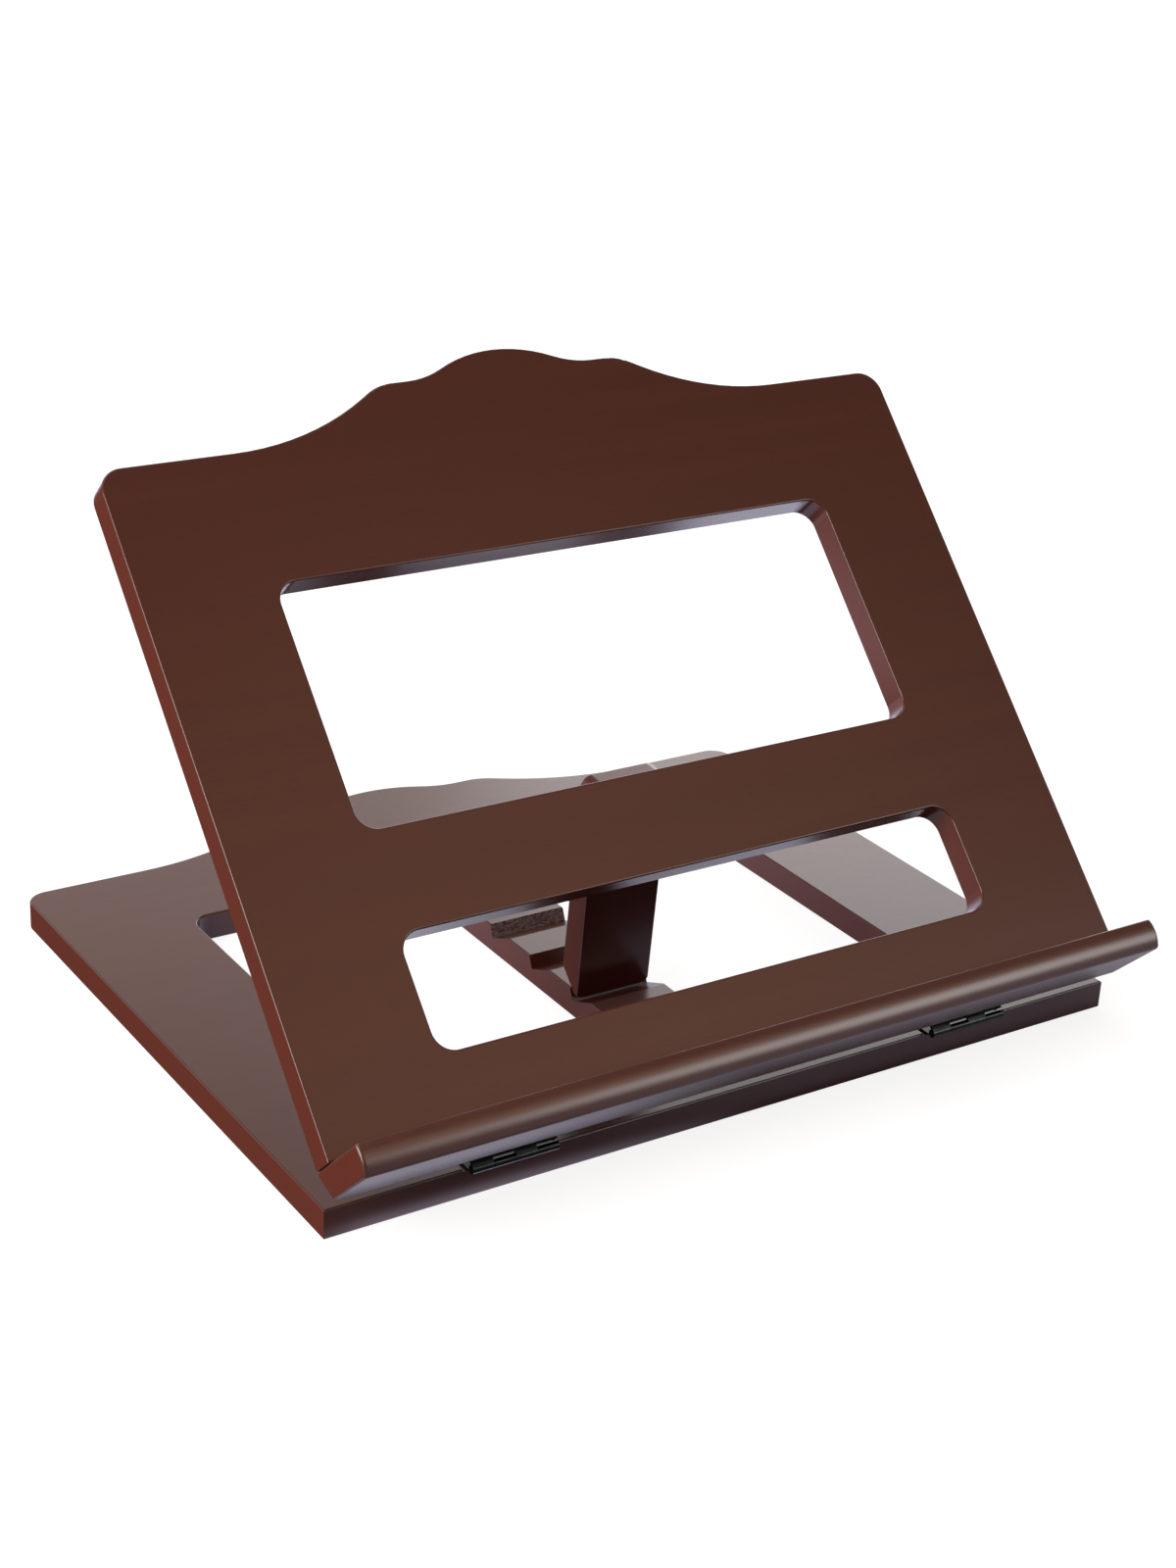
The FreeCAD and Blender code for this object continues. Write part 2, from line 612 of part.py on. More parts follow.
# Hinge leaf about the pin's axis along X: the plate runs towards +Y and lies on wood
# below it; the second and fourth of four knuckles belong to it
def hinge_leaf(name, length, width, placement):
    leaf = new_body(name)
    section = new_sketch(leaf, f"{name}_section", "YZ_Plane")
    radius, thick = value("dims.barrel_radius"), value("dims.leaf_thickness")
    wide = value(width)
    top = thick - radius
    start = math.sqrt(radius ** 2 - top ** 2)
    section.addGeometry(Part.LineSegment(Vector(0, -radius, 0), Vector(wide, -radius, 0)))
    section.addGeometry(Part.LineSegment(Vector(wide, -radius, 0), Vector(wide, top, 0)))
    section.addGeometry(Part.LineSegment(Vector(wide, top, 0), Vector(start, top, 0)))
    barrel = Part.Circle(Vector(0, 0, 0), Vector(0, 0, 1), radius)
    section.addGeometry(Part.ArcOfCircle(barrel, math.atan2(top, start),
                                         1.5 * math.pi))
    section.addConstraint(Sketcher.Constraint("Coincident", 3, 3, -1, 1))
    section.addConstraint(Sketcher.Constraint("Coincident", 0, 2, 1, 1))
    section.addConstraint(Sketcher.Constraint("Coincident", 1, 2, 2, 1))
    section.addConstraint(Sketcher.Constraint("Coincident", 2, 2, 3, 1))
    section.addConstraint(Sketcher.Constraint("Tangent", 3, 2, 0, 1))
    section.addConstraint(Sketcher.Constraint("Horizontal", 0))
    section.addConstraint(Sketcher.Constraint("Vertical", 1))
    section.addConstraint(Sketcher.Constraint("Horizontal", 2))
    bind(section, "Radius", 3, "dims.barrel_radius")
    bind(section, "Distance", 1, "dims.leaf_thickness")
    bind(section, "Distance", 0, width)
    pad(leaf, f"{name}_strip", section, length, both=True)
    # room for the other leaf's knuckles
    notch = new_sketch(leaf, f"{name}_notches", "XY_Plane")
    knuckle = f"(({length}) - 3 * dims.knuckle_gap) / 4"
    side = "dims.barrel_radius + dims.leaf_clearance"
    low_1 = f"-({length}) / 2 - dims.knuckle_gap"
    high_1 = f"-({length}) / 2 + {knuckle} + dims.knuckle_gap"
    low_2 = f"{high_1} + {knuckle}"
    high_2 = f"{low_2} + {knuckle} + 2 * dims.knuckle_gap"
    for low, high in ((low_1, high_1), (low_2, high_2)):
        draw_loop(notch, [(low, f"-({side})"), (high, f"-({side})"),
                          (high, side), (low, side)])
    pocket(leaf, f"{name}_notch_cut", notch, both=True)
    # hole for the pin
    eye = new_sketch(leaf, f"{name}_eye", "YZ_Plane")
    draw_circle(eye, "0", "0", "dims.pin_radius + dims.pin_clearance")
    pocket(leaf, f"{name}_eye_cut", eye, both=True)
    # countersunk screw holes
    for j, sign in enumerate(("-", "")):
        before = leaf.Shape.Volume
        sink = leaf.newObject("PartDesign::SubtractiveCone", f"{name}_sink_{j}")
        sink.setExpression("Radius1", HOLE_RADIUS)
        sink.setExpression("Radius2", "dims.screw_head_radius + dims.hole_clearance")
        sink.setExpression("Height", "dims.leaf_thickness")
        place(sink, at(f"{sign}(({length}) / 2 - dims.screw_end)",
                       f"{width} - dims.screw_edge", "-dims.barrel_radius"))
        doc.recompute()
        if not leaf.Shape.Volume < before - 1e-6:
            raise RuntimeError(f"{name} screw hole cuts nothing")
    place(leaf, placement)
    return leaf


# Hinge pin along X, about the middle of its hinge
def hinge_pin(name, length, x, y, z):
    pin = doc.addObject("Part::Cylinder", name)
    pin.Label = name
    pin.setExpression("Radius", "dims.pin_radius")
    pin.setExpression("Height", length)
    place(pin, at(f"{x} - ({length}) / 2", y, z,
                  "create(<<rotation>>; create(<<vector>>; 0; 1; 0); 90)"))
    return pin


# Two countersunk screws in one leaf, in the leaf's own frame
def leaf_screws(name, length, width, placement):
    head = doc.addObject("Part::Cone", f"{name}_head")
    head.setExpression("Radius1", "dims.screw_radius")
    head.setExpression("Radius2", "dims.screw_head_radius")
    head.setExpression("Height", "dims.leaf_thickness")
    place(head, at("0", "0", "-dims.leaf_thickness"))
    shank = doc.addObject("Part::Cylinder", f"{name}_shank")
    shank.setExpression("Radius", "dims.screw_radius")
    shank.setExpression("Height", f"{SCREW_IN_WOOD} - dims.screw_tip")
    place(shank, at("0", "0", "dims.screw_tip - dims.screw_length"))
    point = doc.addObject("Part::Cone", f"{name}_point")
    point.Radius1 = 0
    point.setExpression("Radius2", "dims.screw_radius")
    point.setExpression("Height", "dims.screw_tip")
    place(point, at("0", "0", "-dims.screw_length"))
    solid = doc.addObject("Part::MultiFuse", f"{name}_solid")
    solid.Shapes = [head, shank, point]
    groove = doc.addObject("Part::Box", f"{name}_groove")
    groove.setExpression("Length", "dims.driver_slot_width")
    groove.setExpression("Width", "2 * dims.screw_head_radius")
    groove.setExpression("Height", "dims.driver_slot_depth")
    place(groove, at("-dims.driver_slot_width / 2", "-dims.screw_head_radius",
                     "-dims.driver_slot_depth"))
    screw = doc.addObject("Part::Cut", f"{name}_screw")
    screw.Base = solid
    screw.Tool = groove
    place(screw, at(f"({length}) / 2 - dims.screw_end", f"{width} - dims.screw_edge",
                    "dims.leaf_thickness - dims.barrel_radius"))
    twin = doc.addObject("Part::Mirroring", f"{name}_twin")
    twin.Source = screw
    twin.Normal = Vector(1, 0, 0)
    pair = doc.addObject("Part::Compound", name)
    pair.Label = name
    pair.Links = [screw, twin]
    place(pair, placement)
    return pair


pieces = [base_board, panel, ledge, ledge_dowels, strut]
LENGTH = "dims.hinge_length"
for side, x in zip(("left", "right"), HINGE_X):
    flat = at(x, "fits.pin_y", "fits.pin_z")
    leaned = at(x, "fits.pin_y", "fits.pin_z", flip_to("dims.tilt_angle"))
    pieces += [
        hinge_leaf(f"{side}_hinge_base_leaf", LENGTH, "dims.base_leaf_width", flat),
        hinge_leaf(f"{side}_hinge_panel_leaf", LENGTH, "dims.panel_leaf_width", leaned),
        hinge_pin(f"{side}_hinge_pin", LENGTH, x, "fits.pin_y", "fits.pin_z"),
        leaf_screws(f"{side}_base_leaf_screws", LENGTH, "dims.base_leaf_width", flat),
        leaf_screws(f"{side}_panel_leaf_screws", LENGTH, "dims.panel_leaf_width",
                    leaned),
    ]
LENGTH = "dims.strut_hinge_length"
on_rail = at("0", "fits.strut_pin_y", "fits.strut_pin_z",
             turn_x("dims.tilt_angle + 180"))
on_strut = at("0", "fits.strut_pin_y", "fits.strut_pin_z",
              flip_to("fits.strut_lean - 90"))
pieces += [
    hinge_leaf("strut_hinge_rail_leaf", LENGTH, "dims.rail_leaf_width", on_rail),
    hinge_leaf("strut_hinge_strut_leaf", LENGTH, "dims.strut_leaf_width", on_strut),
    hinge_pin("strut_hinge_pin", LENGTH, "0", "fits.strut_pin_y", "fits.strut_pin_z"),
    leaf_screws("strut_hinge_rail_screws", LENGTH, "dims.rail_leaf_width", on_rail),
    leaf_screws("strut_hinge_strut_screws", LENGTH, "dims.strut_leaf_width", on_strut),
]
doc.recompute()

# Every object has to be sound before anything is written
for obj in doc.Objects:
    if "Invalid" in obj.State or "Error" in obj.State:
        raise RuntimeError(f"{obj.Name} failed: {obj.State}")
    if obj.TypeId == "Sketcher::SketchObject" and obj.solve() != 0:
        raise RuntimeError(f"{obj.Name} can't be solved")
for piece in pieces:
    if piece.Shape.isNull() or not piece.Shape.isValid():
        raise RuntimeError(f"{piece.Label} has no valid shape")

os.makedirs("parts", exist_ok=True)
for piece in pieces:
    piece.Shape.exportStep(f"parts/{piece.Label}.step")
    box = piece.Shape.BoundBox
    print(f"{piece.Label}: {len(piece.Shape.Solids)} solids, {piece.Shape.Volume:.1f} mm3,"
          f" X {box.XMin:.1f} to {box.XMax:.1f}, Y {box.YMin:.1f} to {box.YMax:.1f},"
          f" Z {box.ZMin:.1f} to {box.ZMax:.1f}")
for name in ("pin_y", "pin_z", "panel_y", "panel_z", "strut_pin_y", "strut_pin_z",
             "foot_y", "foot_z", "strut_reach", "strut_lean"):
    print(f"{name} {getattr(fits, name):.4f}")
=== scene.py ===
import math

import bpy
from mathutils import Matrix, Vector

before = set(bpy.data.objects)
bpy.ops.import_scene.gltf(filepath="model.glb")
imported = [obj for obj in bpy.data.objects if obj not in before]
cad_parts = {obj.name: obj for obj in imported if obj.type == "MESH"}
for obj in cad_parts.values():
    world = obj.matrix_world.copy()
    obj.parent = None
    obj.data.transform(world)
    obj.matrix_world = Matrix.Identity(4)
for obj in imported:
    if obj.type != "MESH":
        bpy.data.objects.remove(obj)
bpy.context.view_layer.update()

scene = bpy.context.scene
scene.view_settings.view_transform = "Standard"


# Camera
# The photograph is taken from the front left, a little above the panel, with a long lens.
# It leans a few degrees, so the camera is rolled about its own line of sight.
CAMERA_AZIMUTH = math.radians(33.873)
CAMERA_DOWN = math.radians(23.737)
CAMERA_ROLL = math.radians(2.970)
CAMERA_DISTANCE = 0.908574
CAMERA_AIM = Vector((0.012387, 0.003625, 0.064717))
CAMERA_LENS = 60.846
CAMERA_SENSOR = 36
CAMERA_NEAR = 0.01
CAMERA_FAR = 60
forward = Vector((
    math.sin(CAMERA_AZIMUTH) * math.cos(CAMERA_DOWN),
    math.cos(CAMERA_AZIMUTH) * math.cos(CAMERA_DOWN),
    -math.sin(CAMERA_DOWN),
))
level_right = forward.cross(Vector((0, 0, 1))).normalized()
level_up = level_right.cross(forward)
rolled_right = math.cos(CAMERA_ROLL) * level_right + math.sin(CAMERA_ROLL) * level_up
rolled_up = -math.sin(CAMERA_ROLL) * level_right + math.cos(CAMERA_ROLL) * level_up
camera_turn = Matrix((rolled_right, rolled_up, -forward)).transposed()
camera_data = bpy.data.cameras.new("photo_camera")
camera_data.lens = CAMERA_LENS
camera_data.sensor_width = CAMERA_SENSOR
camera_data.sensor_fit = "AUTO"
camera_data.clip_start = CAMERA_NEAR
camera_data.clip_end = CAMERA_FAR
camera = bpy.data.objects.new("photo_camera", camera_data)
scene.collection.objects.link(camera)
camera.rotation_mode = "QUATERNION"
camera.rotation_quaternion = camera_turn.to_quaternion()
camera.location = CAMERA_AIM - forward * CAMERA_DISTANCE
scene.camera = camera


# Studio floor
# A wide sheet of plain pale paper under the stand, white to the camera, with a soft shadow under
# the base. To the lacquer alone it glows, a painted reflection: bright behind the stand, in a pool
# near the front left corner and as a faint sheen in front on the right.
FLOOR_SIZE = 24
FLOOR_DROP = 0.0002
PAPER_GREY = (0.26, 0.26, 0.27, 1)
PAPER_REFLECTION_TINT = (0.79, 0.78, 1, 1)
WHITE = (1, 1, 1, 1)
POOL_MIDDLE = (-0.12, -0.115, 0)
RIGHT_LEAN = 0.35


def feed(tree, socket, value):
    if isinstance(value, bpy.types.NodeSocket):
        tree.links.new(value, socket)
    else:
        socket.default_value = value


def math_node(tree, operation, *values):
    node = tree.nodes.new("ShaderNodeMath")
    node.operation = operation
    for socket, value in zip(node.inputs, values):
        feed(tree, socket, value)
    return node.outputs[0]


def vector_node(tree, operation, *values):
    node = tree.nodes.new("ShaderNodeVectorMath")
    node.operation = operation
    for socket, value in zip(node.inputs, values):
        feed(tree, socket, value)
    gives_number = operation in ("LENGTH", "DISTANCE", "DOT_PRODUCT")
    return node.outputs["Value" if gives_number else "Vector"]


def split_xyz(tree, source):
    node = tree.nodes.new("ShaderNodeSeparateXYZ")
    tree.links.new(source, node.inputs[0])
    return node.outputs


def ramp(tree, source, start, end, low=0, high=1, shape="SMOOTHSTEP"):
    node = tree.nodes.new("ShaderNodeMapRange")
    node.interpolation_type = shape
    tree.links.new(source, node.inputs["Value"])
    for socket_name, value in (("From Min", start), ("From Max", end),
                               ("To Min", low), ("To Max", high)):
        node.inputs[socket_name].default_value = value
    return node.outputs[0]


def blend_colour(tree, factor, first, second):
    mix = tree.nodes.new("ShaderNodeMix")
    mix.data_type = "RGBA"
    for socket_name, value in (("Factor", factor), ("A", first), ("B", second)):
        feed(tree, mix.inputs[socket_name], value)
    return mix.outputs["Result"]


bpy.ops.object.select_all(action="DESELECT")
bpy.ops.mesh.primitive_plane_add(size=FLOOR_SIZE, location=(0, 0, -FLOOR_DROP))
floor = bpy.context.object
floor.name = "studio_floor"
paper = bpy.data.materials.new("pale_paper")
paper.use_nodes = True
tree = paper.node_tree
tree.nodes.clear()
ray = tree.nodes.new("ShaderNodeLightPath").outputs
spot = tree.nodes.new("ShaderNodeTexCoord").outputs["Object"]
spot_parts = split_xyz(tree, spot)
distance_out = vector_node(tree, "LENGTH", spot)
seen_level = ramp(tree, distance_out, start=0.35, end=1.3, low=0.86, high=1.1, shape="LINEAR")
seen_glow = math_node(tree, "MULTIPLY", ray["Is Camera Ray"], seen_level)
# Painted reflection: for glossy rays only, the paper glows behind the stand, in a pool and a
# sheen.
back_and_right = math_node(tree, "MULTIPLY_ADD", spot_parts["X"], RIGHT_LEAN, spot_parts["Y"])
behind_stand = ramp(tree, back_and_right, start=-0.12, end=0.2, low=0.08, high=1.8)
under_stand = ramp(tree, spot_parts["Y"], start=-0.122, end=-0.114)
in_front = math_node(tree, "SUBTRACT", 1, under_stand)
from_pool = vector_node(tree, "DISTANCE", spot, POOL_MIDDLE)
pool = ramp(tree, from_pool, start=0.02, end=0.14, low=2.6, high=0)
pool_under = math_node(tree, "MULTIPLY", pool, under_stand)
sheen = ramp(tree, spot_parts["X"], start=-0.1, end=0.05, high=0.35)
near_glow = math_node(tree, "MULTIPLY_ADD", sheen, in_front, pool_under)
dim_left = ramp(tree, spot_parts["X"], start=-0.16, end=-0.13, low=0.05)
mirrored_level = math_node(
    tree, "MULTIPLY", math_node(tree, "ADD", behind_stand, near_glow), dim_left)
mirrored_glow = math_node(tree, "MULTIPLY", ray["Is Glossy Ray"], mirrored_level)
# The glow is white to the camera and lavender in the painted reflection.
paper_glow = tree.nodes.new("ShaderNodeEmission")
tree.links.new(blend_colour(tree, ray["Is Camera Ray"], PAPER_REFLECTION_TINT, WHITE),
               paper_glow.inputs["Color"])
tree.links.new(math_node(tree, "ADD", seen_glow, mirrored_glow), paper_glow.inputs["Strength"])
paper_body = tree.nodes.new("ShaderNodeBsdfDiffuse")
paper_body.inputs["Color"].default_value = PAPER_GREY
paper_sum = tree.nodes.new("ShaderNodeAddShader")
paper_out = tree.nodes.new("ShaderNodeOutputMaterial")
tree.links.new(paper_body.outputs[0], paper_sum.inputs[0])
tree.links.new(paper_glow.outputs[0], paper_sum.inputs[1])
tree.links.new(paper_sum.outputs[0], paper_out.inputs["Surface"])
floor.data.materials.append(paper)


# Studio light
# A big soft lamp stands near on the left, one hangs overhead, and a low one behind on the right
# is mirrored by the boards. A small one in front shows only as a streak in the lacquer. The
# room's far wall is bright low down, and a warm card hangs high in front on the right.
STAND_MIDDLE = (0, 0, 0.08)
WALL_LEVEL = 1.14
ROOM_DIM = (0.15, 0.125, 0.09)
CARD_WAY = (0.45, -0.57, 0.69)
CARD_LEVEL = 1.15
CARD_TINT = (1, 0.68, 0.45)


def soft_lamp(name, place, size, watts, tint, aim=STAND_MIDDLE):
    lamp_data = bpy.data.lights.new(name, "AREA")
    lamp_data.shape = "RECTANGLE"
    lamp_data.size, lamp_data.size_y = size
    lamp_data.energy = watts
    lamp_data.color = tint
    lamp = bpy.data.objects.new(name, lamp_data)
    scene.collection.objects.link(lamp)
    lamp.location = place
    lamp.rotation_mode = "QUATERNION"
    lamp.rotation_quaternion = (Vector(aim) - Vector(place)).to_track_quat("-Z", "Y")
    return lamp


soft_lamp("left_softbox", place=(-1.35, -0.30, 0.80), size=(0.9, 0.9), watts=24,
          tint=(1.0, 0.98, 0.94))
soft_lamp("top_softbox", place=(-0.1, 0.5, 2.2), size=(1.4, 1.4), watts=16, tint=(1.0, 1.0, 1.0))
soft_lamp("back_softbox", place=(1.60, 1.30, 0.75), size=(1.5, 1.2), watts=8,
          tint=(0.97, 0.97, 1.0))
nose_lamp = soft_lamp("front_softbox", place=(1.22, -1.50, 0.80), size=(0.9, 0.7), watts=11,
                      tint=(1.0, 0.99, 0.98), aim=(0, -0.1, 0.05))
nose_lamp.visible_diffuse = False
room = bpy.data.worlds.new("white_room")
room.use_nodes = True
scene.world = room
tree = room.node_tree
tree.nodes.clear()
way = tree.nodes.new("ShaderNodeTexCoord").outputs["Generated"]
way_parts = split_xyz(tree, way)
low_down = ramp(tree, way_parts["Z"], start=0.30, end=0.75, low=1, high=0)
to_back = ramp(tree, way_parts["Y"], start=-0.25, end=0.6)
to_right = ramp(tree, way_parts["X"], start=0.2, end=0.75, low=0.92)
far_wall = math_node(tree, "MULTIPLY", math_node(tree, "MULTIPLY", low_down, to_back), to_right)
wall_glow = math_node(tree, "MULTIPLY", far_wall, WALL_LEVEL)
walls = vector_node(tree, "ADD", wall_glow, ROOM_DIM)
near_card = vector_node(tree, "DOT_PRODUCT", way, CARD_WAY)
card = ramp(tree, near_card, start=0.95, end=1, high=CARD_LEVEL)
room_lit = tree.nodes.new("ShaderNodeBackground")
tree.links.new(vector_node(tree, "MULTIPLY_ADD", card, CARD_TINT, walls), room_lit.inputs["Color"])
room_plain = tree.nodes.new("ShaderNodeBackground")
room_plain.inputs["Color"].default_value = WHITE
room_pick = tree.nodes.new("ShaderNodeMixShader")
room_ray = tree.nodes.new("ShaderNodeLightPath")
room_out = tree.nodes.new("ShaderNodeOutputWorld")
tree.links.new(room_ray.outputs["Is Camera Ray"], room_pick.inputs[0])
tree.links.new(room_lit.outputs[0], room_pick.inputs[1])
tree.links.new(room_plain.outputs[0], room_pick.inputs[2])
tree.links.new(room_pick.outputs[0], room_out.inputs["Surface"])


# Base board
# One stained hardwood board with two windows and a centre rail, its slots cut across the rail.
# The stain is a deep red mahogany under satin lacquer, with hardly any grain to be seen. In the
# last slot, the wall that faces the front has a painted reflection: pale grey patches, no lacquer.
MAHOGANY = (0.076, 0.0165, 0.0105, 1)
MAHOGANY_DEEP = (0.044, 0.0095, 0.0068, 1)
MAHOGANY_END = (0.11, 0.0265, 0.0175, 1)
# Pale grey of the painted reflection on the front wall of the last slot.
SLOT_REFLECTION_GREY = (0.2, 0.155, 0.15, 1)
BOARD_GLOSS = 0.42
FULL_LACQUER = 0.95
INNER_REACH = 0.142
STREAK_PART = 0.62
CLOUD_PART = 0.38
END_DULLING = 0.2
PORE_DULLING = 0.12
RIPPLE_RISE = 0.35
STREAK_HOLLOW = 0.25
RELIEF_DEPTH = 0.0002
RAIL_REACH = 0.04
LAST_SLOT_FROM = 0.01
TURNED_FRONT = -0.8


def effect_group(name, inputs, outputs):
    group = bpy.data.node_groups.new(name, "ShaderNodeTree")
    for socket_name, value in inputs.items():
        kind = {type(None): "Vector", tuple: "Color"}.get(type(value), "Float")
        socket = group.interface.new_socket(
            name=socket_name, in_out="INPUT", socket_type=f"NodeSocket{kind}")
        if value is not None:
            socket.default_value = value
    for socket_name in outputs:
        kind = "Color" if socket_name == "Color" else "Float"
        group.interface.new_socket(
            name=socket_name, in_out="OUTPUT", socket_type=f"NodeSocket{kind}")
    return (group, group.nodes.new("NodeGroupInput").outputs,
            group.nodes.new("NodeGroupOutput").inputs)


def noise_mask(tree, source, scale, detail, low, high):
    noise = tree.nodes.new("ShaderNodeTexNoise")
    noise.inputs["Scale"].default_value = 1
    noise.inputs["Detail"].default_value = detail
    tree.links.new(vector_node(tree, "MULTIPLY", source, scale), noise.inputs["Vector"])
    return ramp(tree, noise.outputs["Fac"], low, high, shape="LINEAR")


stain, stain_in, stain_out = effect_group(
    "stained_grain",
    {"Vector": None, "Facing": None, "Place": None, "Stain": MAHOGANY,
     "Deep stain": MAHOGANY_DEEP, "End stain": MAHOGANY_END, "Streaks": 0.30, "Pores": 0.35,
     "Gloss": BOARD_GLOSS, "End lacquer": 0.5},
    ("Color", "Roughness", "Lacquer", "Height"))
streaks = noise_mask(stain, stain_in["Vector"], (5, 120, 120), detail=6, low=0.36, high=0.68)
clouds = noise_mask(stain, stain_in["Vector"], (5, 14, 14), detail=3, low=0.3, high=0.72)
pores = noise_mask(stain, stain_in["Vector"], (130, 1900, 1900), detail=1, low=0.62, high=0.74)
ripple = noise_mask(stain, stain_in["Vector"], (420, 420, 420), detail=2, low=0.3, high=0.7)
streaks_and_clouds = math_node(stain, "ADD", math_node(stain, "MULTIPLY", streaks, STREAK_PART),
                               math_node(stain, "MULTIPLY", clouds, CLOUD_PART))
grain_depth = math_node(stain, "MULTIPLY", streaks_and_clouds, stain_in["Streaks"])
pore_depth = math_node(stain, "MULTIPLY", pores, stain_in["Pores"])
facing_side = math_node(stain, "ABSOLUTE", split_xyz(stain, stain_in["Facing"])["X"])
end_grain = ramp(stain, facing_side, start=0.8, end=0.99)
grained = blend_colour(stain, grain_depth, stain_in["Stain"], stain_in["Deep stain"])
pored = blend_colour(stain, pore_depth, grained, stain_in["Deep stain"])
stain.links.new(blend_colour(stain, end_grain, pored, stain_in["End stain"]), stain_out["Color"])
dulled = math_node(stain, "ADD", math_node(stain, "MULTIPLY", end_grain, END_DULLING),
                   math_node(stain, "MULTIPLY", pore_depth, PORE_DULLING))
stain.links.new(math_node(stain, "ADD", stain_in["Gloss"], dulled), stain_out["Roughness"])
from_middle = math_node(stain, "ABSOLUTE", split_xyz(stain, stain_in["Place"])["X"])
inner_end = math_node(stain, "LESS_THAN", from_middle, INNER_REACH)
end_coat = math_node(stain, "MULTIPLY", inner_end, stain_in["End lacquer"])
missing_coat = math_node(
    stain, "MULTIPLY", end_grain, math_node(stain, "SUBTRACT", FULL_LACQUER, end_coat))
stain.links.new(math_node(stain, "SUBTRACT", FULL_LACQUER, missing_coat), stain_out["Lacquer"])
rises = math_node(stain, "MULTIPLY", ripple, RIPPLE_RISE)
hollows = math_node(
    stain, "ADD", pore_depth, math_node(stain, "MULTIPLY", streaks, STREAK_HOLLOW))
stain.links.new(math_node(stain, "SUBTRACT", rises, hollows), stain_out["Height"])


def grained_wood(name, turn, shift, grain_values):
    wood = bpy.data.materials.new(name)
    wood.use_nodes = True
    tree = wood.node_tree
    shader = tree.nodes["Principled BSDF"]
    place = tree.nodes.new("ShaderNodeTexCoord")
    place.name = "Place"
    lay = tree.nodes.new("ShaderNodeMapping")
    lay.inputs["Rotation"].default_value = turn
    lay.inputs["Location"].default_value = shift
    grain = tree.nodes.new("ShaderNodeGroup")
    grain.name = "Grain"
    grain.node_tree = stain
    for socket_name, value in grain_values.items():
        grain.inputs[socket_name].default_value = value
    tree.links.new(place.outputs["Object"], lay.inputs["Vector"])
    tree.links.new(lay.outputs[0], grain.inputs["Vector"])
    tree.links.new(grain.outputs["Color"], shader.inputs["Base Color"])
    tree.links.new(grain.outputs["Roughness"], shader.inputs["Roughness"])
    return wood, tree, shader, place, grain


def stained_board(name, turn=(0, 0, 0), shift=(0, 0, 0), streaks=0.30, pores=0.35,
                  end_lacquer=0.5, relief=0.12, coat_roughness=0.24, coat_ior=1.5):
    board, tree, shader, place, grain = grained_wood(
        name, turn, shift,
        {"Stain": MAHOGANY, "Deep stain": MAHOGANY_DEEP, "End stain": MAHOGANY_END,
         "Streaks": streaks, "Pores": pores, "Gloss": BOARD_GLOSS, "End lacquer": end_lacquer})
    shader.inputs["IOR"].default_value = 1.45
    shader.inputs["Specular IOR Level"].default_value = 0.02
    shader.inputs["Coat Roughness"].default_value = coat_roughness
    shader.inputs["Coat IOR"].default_value = coat_ior
    bump = tree.nodes.new("ShaderNodeBump")
    bump.inputs["Strength"].default_value = relief
    bump.inputs["Distance"].default_value = RELIEF_DEPTH
    tree.links.new(place.outputs["Normal"], grain.inputs["Facing"])
    tree.links.new(place.outputs["Object"], grain.inputs["Place"])
    tree.links.new(grain.outputs["Lacquer"], shader.inputs["Coat Weight"])
    tree.links.new(grain.outputs["Height"], bump.inputs["Height"])
    tree.links.new(bump.outputs[0], shader.inputs["Normal"])
    return board


base_wood = stained_board("base_mahogany")
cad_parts["base_board"].material_slots[0].material = base_wood

# Painted reflection: the front wall of the last slot gets pale grey patches and loses its lacquer.
slot_wall_reflection, slot_paint_in, slot_paint_out = effect_group(
    "slot_wall_reflection",
    {"Vector": None, "Facing": None, "Stain": MAHOGANY, "Raw": SLOT_REFLECTION_GREY,
     "Lacquer": FULL_LACQUER},
    ("Color", "Lacquer"))
slot_place = split_xyz(slot_wall_reflection, slot_paint_in["Vector"])
slot_facing = split_xyz(slot_wall_reflection, slot_paint_in["Facing"])
on_rail = math_node(
    slot_wall_reflection, "LESS_THAN", math_node(slot_wall_reflection, "ABSOLUTE", slot_place["X"]), RAIL_REACH)
in_last_slot = math_node(slot_wall_reflection, "GREATER_THAN", slot_place["Y"], LAST_SLOT_FROM)
faces_front = math_node(slot_wall_reflection, "LESS_THAN", slot_facing["Y"], TURNED_FRONT)
front_slot_wall = math_node(
    slot_wall_reflection, "MULTIPLY", math_node(slot_wall_reflection, "MULTIPLY", on_rail, in_last_slot), faces_front)
reflection_patches = noise_mask(slot_wall_reflection, slot_paint_in["Vector"], (700, 1500, 1500), detail=3, low=0.32, high=0.62)
painted_reflection_mask = math_node(slot_wall_reflection, "MULTIPLY", front_slot_wall, reflection_patches)
slot_wall_reflection.links.new(blend_colour(slot_wall_reflection, painted_reflection_mask, slot_paint_in["Stain"], slot_paint_in["Raw"]),
                  slot_paint_out["Color"])
slot_wall_reflection.links.new(
    math_node(slot_wall_reflection, "MULTIPLY", slot_paint_in["Lacquer"],
              math_node(slot_wall_reflection, "SUBTRACT", 1, front_slot_wall)), slot_paint_out["Lacquer"])
tree = base_wood.node_tree
base_place = tree.nodes["Place"].outputs
base_grain = tree.nodes["Grain"].outputs
base_shader = tree.nodes["Principled BSDF"].inputs
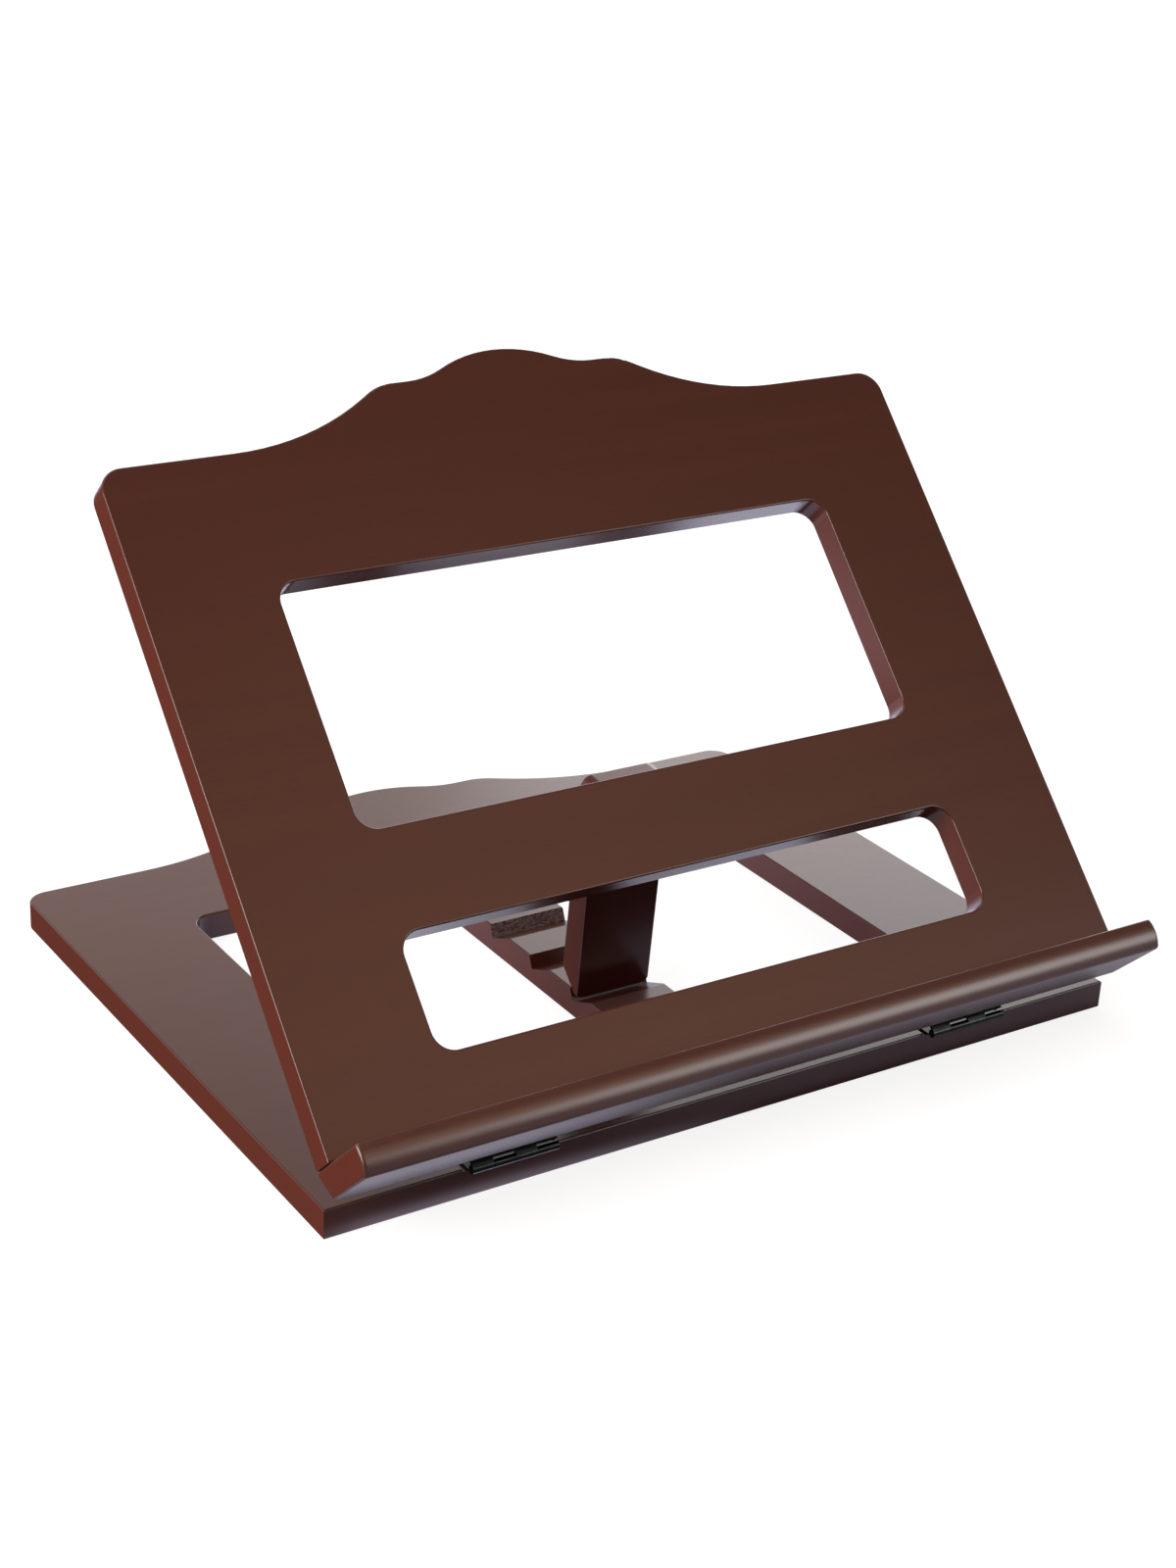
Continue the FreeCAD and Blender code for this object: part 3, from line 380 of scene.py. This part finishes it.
# The painted reflection goes on over the base's stain and lacquer.
slot_reflection_paint = tree.nodes.new("ShaderNodeGroup")
slot_reflection_paint.node_tree = slot_wall_reflection
tree.links.new(base_place["Object"], slot_reflection_paint.inputs["Vector"])
tree.links.new(base_place["Normal"], slot_reflection_paint.inputs["Facing"])
tree.links.new(base_grain["Color"], slot_reflection_paint.inputs["Stain"])
tree.links.new(base_grain["Lacquer"], slot_reflection_paint.inputs["Lacquer"])
tree.links.new(slot_reflection_paint.outputs["Color"], base_shader["Base Color"])
tree.links.new(slot_reflection_paint.outputs["Lacquer"], base_shader["Coat Weight"])


# Book panel
# The leaning board, cut to the same outline as the base, with an upper and a lower window.
# Its grain runs from side to side in the plane of the panel.
PANEL_TILT = math.radians(46)
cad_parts["book_panel"].material_slots[0].material = stained_board(
    "panel_mahogany", turn=(-PANEL_TILT, 0, 0), shift=(0.31, 0.07, 0.02))


# Book ledge
# A separate board across the foot of the panel, with a rounded nose and a bevelled lower back
# edge. It is of the same wood, with a little more grain and a broader, brighter sheen.
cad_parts["book_ledge"].material_slots[0].material = stained_board(
    "ledge_mahogany", turn=(-PANEL_TILT, 0, 0), shift=(0.13, 0.41, 0.17), streaks=0.42,
    pores=0.5, relief=0.8, coat_roughness=0.32, coat_ior=1.68)


# Ledge dowels
# Three turned beech pins glued between ledge and panel. They are hidden when the stand is whole.
# The beech is pale, with fine short flecks along each pin.
BEECH = (0.56, 0.36, 0.19, 1)
BEECH_DEEP = (0.34, 0.19, 0.09, 1)
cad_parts["ledge_dowels"].material_slots[0].material = grained_wood(
    "dowel_beech", (-PANEL_TILT, 0, math.radians(90)), (0, 0, 0),
    {"Stain": BEECH, "Deep stain": BEECH_DEEP, "Streaks": 0.5, "Pores": 0.6, "Gloss": 0.58})[0]


# Support strut
# A narrow board hinged behind the panel, with its foot cut to a bevel that drops into a slot.
# Its grain runs along its length, down to the foot, and its edges took up little lacquer.
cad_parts["support_strut"].material_slots[0].material = stained_board(
    "strut_mahogany", turn=(0, math.radians(90), 0), shift=(0.07, 0.03, 0.09), streaks=0.35,
    pores=0.4, end_lacquer=0.15)


# Butt hinges
# Small steel hinges, two at the front edge and one behind the panel's middle rail. The leaves
# are blackened steel with a greenish cast, rolled round a bright pin and held by plain screws.
TARNISH_DULLING = 0.3
SCRATCH_DULLING = 0.08
SCRATCH_HEIGHT = 0.3
SCRATCH_DEPTH = 0.00005
rolled, rolled_in, rolled_out = effect_group(
    "rolled_steel",
    {"Vector": None, "Steel": (0.2, 0.2, 0.2, 1), "Tarnish": (0.05, 0.05, 0.05, 1),
     "Tarnish share": 0.35, "Gloss": 0.3},
    ("Color", "Roughness", "Height"))
tarnish = noise_mask(rolled, rolled_in["Vector"], (380, 380, 380), detail=4, low=0.38, high=0.68)
scratches = noise_mask(rolled, rolled_in["Vector"], (90, 5200, 5200), detail=2, low=0.4, high=0.7)
tarnished = math_node(rolled, "MULTIPLY", tarnish, rolled_in["Tarnish share"])
rolled.links.new(blend_colour(rolled, tarnished, rolled_in["Steel"], rolled_in["Tarnish"]),
                 rolled_out["Color"])
worn = math_node(rolled, "ADD", math_node(rolled, "MULTIPLY", tarnished, TARNISH_DULLING),
                 math_node(rolled, "MULTIPLY", scratches, SCRATCH_DULLING))
rolled.links.new(math_node(rolled, "ADD", rolled_in["Gloss"], worn), rolled_out["Roughness"])
rolled.links.new(
    math_node(rolled, "MULTIPLY", scratches, SCRATCH_HEIGHT), rolled_out["Height"])


def steel(name, bright, dark, gloss, dark_share=0.35):
    metal = bpy.data.materials.new(name)
    metal.use_nodes = True
    tree = metal.node_tree
    shader = tree.nodes["Principled BSDF"]
    shader.inputs["Metallic"].default_value = 1
    place = tree.nodes.new("ShaderNodeTexCoord")
    surface = tree.nodes.new("ShaderNodeGroup")
    surface.node_tree = rolled
    for socket_name, value in (("Steel", bright), ("Tarnish", dark),
                               ("Tarnish share", dark_share), ("Gloss", gloss)):
        surface.inputs[socket_name].default_value = value
    bump = tree.nodes.new("ShaderNodeBump")
    bump.inputs["Strength"].default_value = 0.05
    bump.inputs["Distance"].default_value = SCRATCH_DEPTH
    tree.links.new(place.outputs["Object"], surface.inputs["Vector"])
    tree.links.new(surface.outputs["Color"], shader.inputs["Base Color"])
    tree.links.new(surface.outputs["Roughness"], shader.inputs["Roughness"])
    tree.links.new(surface.outputs["Height"], bump.inputs["Height"])
    tree.links.new(bump.outputs[0], shader.inputs["Normal"])
    return metal


hinge_steels = {
    "_leaf": steel("leaf_steel", (0.02, 0.023, 0.022, 1), (0.008, 0.009, 0.009, 1), gloss=0.14),
    "_pin": steel("pin_steel", (0.12, 0.13, 0.13, 1), (0.04, 0.04, 0.04, 1), gloss=0.2),
    "_screws": steel("screw_steel", (0.36, 0.36, 0.34, 1), (0.12, 0.12, 0.11, 1), gloss=0.28,
                     dark_share=0.45),
}
for node_name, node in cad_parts.items():
    for ending, metal in hinge_steels.items():
        if node_name.endswith(ending):
            node.material_slots[0].material = metal
